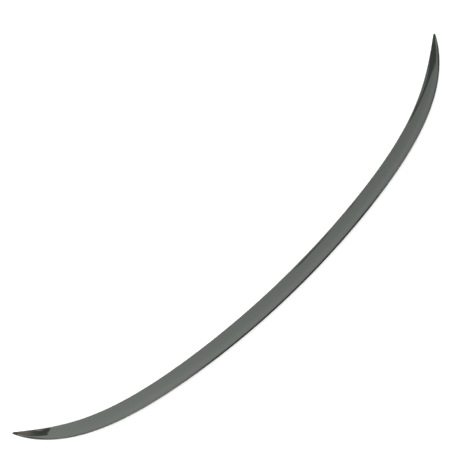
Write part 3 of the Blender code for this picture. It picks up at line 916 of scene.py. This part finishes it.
def grain_group():
    """Fine relief: two sizes of noise, the finer one half as strong; also a slow blotchy mask."""
    tree, given, put = open_group(
        "fine_grain", {"Place": None, "Scale": 900.0}, ["Height", "Blotch"])
    coarse = node(tree, "TexNoise", {
        "Vector": given["Place"], "Scale": given["Scale"], "Detail": 2.0})
    finer = node(tree, "Math", {0: given["Scale"], 1: 2.7}, operation='MULTIPLY')
    fine = node(tree, "TexNoise", {
        "Vector": given["Place"], "Scale": finer.outputs[0], "Detail": 1.0})
    both = node(tree, "Math", {
        0: fine.outputs["Fac"], 1: 0.5, 2: coarse.outputs["Fac"]}, operation='MULTIPLY_ADD')
    slow = node(tree, "TexNoise", {"Vector": given["Place"], "Scale": 14.0, "Detail": 3.0})
    tree.links.new(both.outputs[0], put["Height"])
    tree.links.new(slow.outputs["Fac"], put["Blotch"])
    return tree


def dust_group():
    """Mask of small specks: spots round scattered cell centres, kept where a slow noise is high."""
    tree, given, put = open_group(
        "settled_dust", {"Place": None, "Scale": 260.0, "Size": 0.1}, ["Mask"])
    cells = node(tree, "TexVoronoi", {
        "Vector": given["Place"], "Scale": given["Scale"], "Randomness": 1.0})
    spot = node(tree, "Math", {
        0: cells.outputs["Distance"], 1: given["Size"]}, operation='LESS_THAN')
    slow = node(tree, "TexNoise", {"Vector": given["Place"], "Scale": 55.0, "Detail": 2.0})
    kept = ramp(tree, slow.outputs["Fac"], 0.52, 0.62)
    both = node(tree, "Math", {0: spot.outputs[0], 1: kept}, operation='MULTIPLY')
    tree.links.new(both.outputs[0], put["Mask"])
    return tree


def cells_group():
    """Foam cells: distance to the nearest cell wall, and distance to the cell's own centre."""
    tree, given, put = open_group("foam_cells", {"Place": None, "Scale": 2600.0}, ["Height", "Open"])
    walls = node(tree, "TexVoronoi", {
        "Vector": given["Place"], "Scale": given["Scale"]}, feature='DISTANCE_TO_EDGE')
    cells = node(tree, "TexVoronoi", {"Vector": given["Place"], "Scale": given["Scale"]})
    tree.links.new(walls.outputs["Distance"], put["Height"])
    tree.links.new(cells.outputs["Distance"], put["Open"])
    return tree


GRAIN, DUST, CELLS = grain_group(), dust_group(), cells_group()
print("shared patterns:", [g.name for g in bpy.data.node_groups])

# %% [markdown]
# The paint is black under clear lacquer. What makes it read as real paint is small: a faint orange
# peel in the lacquer, a soft change of gloss from polishing, specks of dust, and below the edges
# the overspray that fades to bare plastic.

# %% Gloss black lacquer
BARE_PLASTIC, PAINT, LACQUER_DUST = (0.018, 0.018, 0.019), (0.0075, 0.0085, 0.008), (0.28, 0.28, 0.27)
UNDER_NOSE, UNDER_FOOT = (0.9, 0.2), (0.1, 0.4, 0.8)


def start_material(name, constants):
    """New material with constants on its shader's sockets; also its tree, shader and place."""
    material = bpy.data.materials.new(name)
    material.use_nodes = True
    tree = material.node_tree
    shader = tree.nodes["Principled BSDF"]
    for label, value in constants.items():
        shader.inputs[label].default_value = value
    place = tree.nodes.new("ShaderNodeTexCoord").outputs["Object"]
    return material, tree, shader, place


def bump(tree, shader, height, distance, strength=1.0):
    """Relief of a height socket, in metres, on the shader."""
    made = node(tree, "Bump", {"Height": height, "Distance": distance, "Strength": strength})
    tree.links.new(made.outputs["Normal"], shader.inputs["Normal"])


def lacquer():
    """Black base and clear coat above; bare plastic where the paint attribute falls to nothing."""
    material, tree, shader, place = start_material("gloss_black_lacquer", {
        "Metallic": 0.0, "Coat Roughness": 0.03, "Specular IOR Level": 0.12})
    peel = use_group(tree, GRAIN, {"Place": place, "Scale": 240.0})
    polish = use_group(tree, GRAIN, {"Place": place, "Scale": 90.0})
    dust = use_group(tree, DUST, {"Place": place, "Scale": 420.0, "Size": 0.06})
    zone = node(tree, "Attribute", attribute_name="paint", attribute_type='GEOMETRY').outputs["Fac"]
    ragged = node(tree, "Math", {0: peel["Height"], 1: 0.35, 2: zone}, operation='MULTIPLY_ADD')
    painted = ramp(tree, ragged.outputs[0], 0.45, 0.85)
    base = mixed(tree, painted, BARE_PLASTIC, PAINT)
    dusty = node(tree, "Math", {0: dust["Mask"], 1: 0.2}, operation='MULTIPLY')
    settled = mixed(tree, dusty.outputs[0], base, LACQUER_DUST)
    tree.links.new(settled, shader.inputs["Base Color"])
    gloss = ramp(tree, polish["Blotch"], 0.3, 0.7, 0.035, 0.06)
    rough = node(tree, "Mix", {0: painted, 2: 0.5, 3: gloss})
    tree.links.new(rough.outputs[0], shader.inputs["Roughness"])
    tree.links.new(painted, shader.inputs["Coat Weight"])
    bump(tree, shader, peel["Height"], 0.0000022)
    return material


def paint_zone(piece_points):
    """1 on the outside, fading to 0 under the leading edge and under the foot."""
    outside = sum(part[0].shape[1] for part in skin_outside(np.zeros((1, 1))))
    total = piece_points.shape[1]
    zone = np.zeros(total)
    zone[:outside] = 1.0
    zone[outside:outside + UNDER_POINTS] = np.linspace(*UNDER_NOSE, UNDER_POINTS)
    zone[-len(UNDER_FOOT):] = UNDER_FOOT
    return np.tile(zone, (piece_points.shape[0], 1))


attribute(skin, "paint", paint_zone(skin_points))
skin.data.materials.append(lacquer())

# %% [markdown]
# The other finishes are dull. Moulded plastic has a fine grain with slow changes of gloss, cured
# adhesive is grey and lumpy, rubber has a dusty bloom, foam shows its cells, and release film is
# a smooth red sheet with a faint embossed cross-hatch.

# %% Dull finishes
MOULDED_DARK, MOULDED_PALE = (0.013, 0.013, 0.014), (0.021, 0.021, 0.022)
MOULDED_DUST = (0.2, 0.2, 0.19)
ADHESIVE_DARK, ADHESIVE_PALE = (0.05, 0.052, 0.055), (0.075, 0.077, 0.08)
RUBBER_DARK, RUBBER_BLOOM = (0.011, 0.011, 0.011), (0.03, 0.03, 0.029)
FOAM_OPEN, FOAM_WALL = (0.012, 0.012, 0.013), (0.032, 0.032, 0.033)
FILM_DARK, FILM_PALE = (0.30, 0.006, 0.008), (0.40, 0.014, 0.014)


def moulded_plastic():
    """Unpainted black plastic with a fine grain."""
    material, tree, shader, place = start_material("moulded_black_plastic", {"Metallic": 0.0})
    grain = use_group(tree, GRAIN, {"Place": place, "Scale": 1500.0})
    dust = use_group(tree, DUST, {"Place": place, "Scale": 300.0, "Size": 0.12})
    shade = mixed(tree, grain["Blotch"], MOULDED_DARK, MOULDED_PALE)
    dusty = node(tree, "Math", {0: dust["Mask"], 1: 0.3}, operation='MULTIPLY')
    settled = mixed(tree, dusty.outputs[0], shade, MOULDED_DUST)
    tree.links.new(settled, shader.inputs["Base Color"])
    tree.links.new(ramp(tree, grain["Blotch"], 0.3, 0.7, 0.48, 0.62), shader.inputs["Roughness"])
    bump(tree, shader, grain["Height"], 0.00004)
    return material


def adhesive():
    """Dark grey cured adhesive, lumpy at the scale of a few millimetres."""
    material, tree, shader, place = start_material("cured_adhesive", {"Metallic": 0.0})
    lumps = use_group(tree, GRAIN, {"Place": place, "Scale": 350.0})
    shade = mixed(tree, lumps["Blotch"], ADHESIVE_DARK, ADHESIVE_PALE)
    tree.links.new(shade, shader.inputs["Base Color"])
    tree.links.new(ramp(tree, lumps["Height"], 0.5, 0.9, 0.35, 0.5), shader.inputs["Roughness"])
    bump(tree, shader, lumps["Height"], 0.00025)
    return material


def rubber():
    """Matt black rubber; the bloom is a paler mask in slow blotches."""
    material, tree, shader, place = start_material("seal_rubber_matt", {"Metallic": 0.0})
    grain = use_group(tree, GRAIN, {"Place": place, "Scale": 2200.0})
    bloom = ramp(tree, grain["Blotch"], 0.45, 0.75)
    tree.links.new(mixed(tree, bloom, RUBBER_DARK, RUBBER_BLOOM), shader.inputs["Base Color"])
    tree.links.new(ramp(tree, grain["Blotch"], 0.3, 0.7, 0.62, 0.78), shader.inputs["Roughness"])
    bump(tree, shader, grain["Height"], 0.00002)
    return material


def foam_finish():
    """Black acrylic foam: cells bulge between grooves and are darker in the middle."""
    material, tree, shader, place = start_material("acrylic_foam", {
        "Metallic": 0.0, "Roughness": 0.85})
    cells = use_group(tree, CELLS, {"Place": place, "Scale": 2600.0})
    opened = ramp(tree, cells["Open"], 0.2, 0.7)
    tree.links.new(mixed(tree, opened, FOAM_OPEN, FOAM_WALL), shader.inputs["Base Color"])
    bump(tree, shader, cells["Height"], 0.00012)
    return material


def release_film():
    """Red film with an embossed cross-hatch: two families of diagonal waves along its own map."""
    material, tree, shader, _ = start_material("red_release_film", {
        "Metallic": 0.0, "Coat Weight": 0.3})
    own = tree.nodes.new("ShaderNodeTexCoord")
    waves = []
    for turn in (45.0, -45.0):
        turned = node(tree, "Mapping", {
            "Vector": own.outputs["UV"], "Rotation": (0.0, 0.0, math.radians(turn))})
        wave = node(tree, "TexWave", {
            "Vector": turned.outputs[0], "Scale": 110.0, "Distortion": 0.0})
        waves.append(wave.outputs["Fac"])
    hatch = node(tree, "Math", {0: waves[0], 1: waves[1]}, operation='MAXIMUM').outputs[0]
    slow = use_group(tree, GRAIN, {"Place": own.outputs["Object"], "Scale": 60.0})
    shade = mixed(tree, slow["Blotch"], FILM_DARK, FILM_PALE)
    tree.links.new(shade, shader.inputs["Base Color"])
    tree.links.new(ramp(tree, hatch, 0.7, 1.0, 0.28, 0.42), shader.inputs["Roughness"])
    bump(tree, shader, hatch, 0.00002)
    return material


def finish_pieces(pieces, material):
    """Give pieces their material."""
    for piece in pieces:
        piece.data.materials.append(material)


finish_pieces([carrier], moulded_plastic())
finish_pieces(beads, adhesive())
finish_pieces([seal], rubber())
finish_pieces(foams, foam_finish())
finish_pieces(films, release_film())
print("materials:", [m.name for m in bpy.data.materials if m.users])
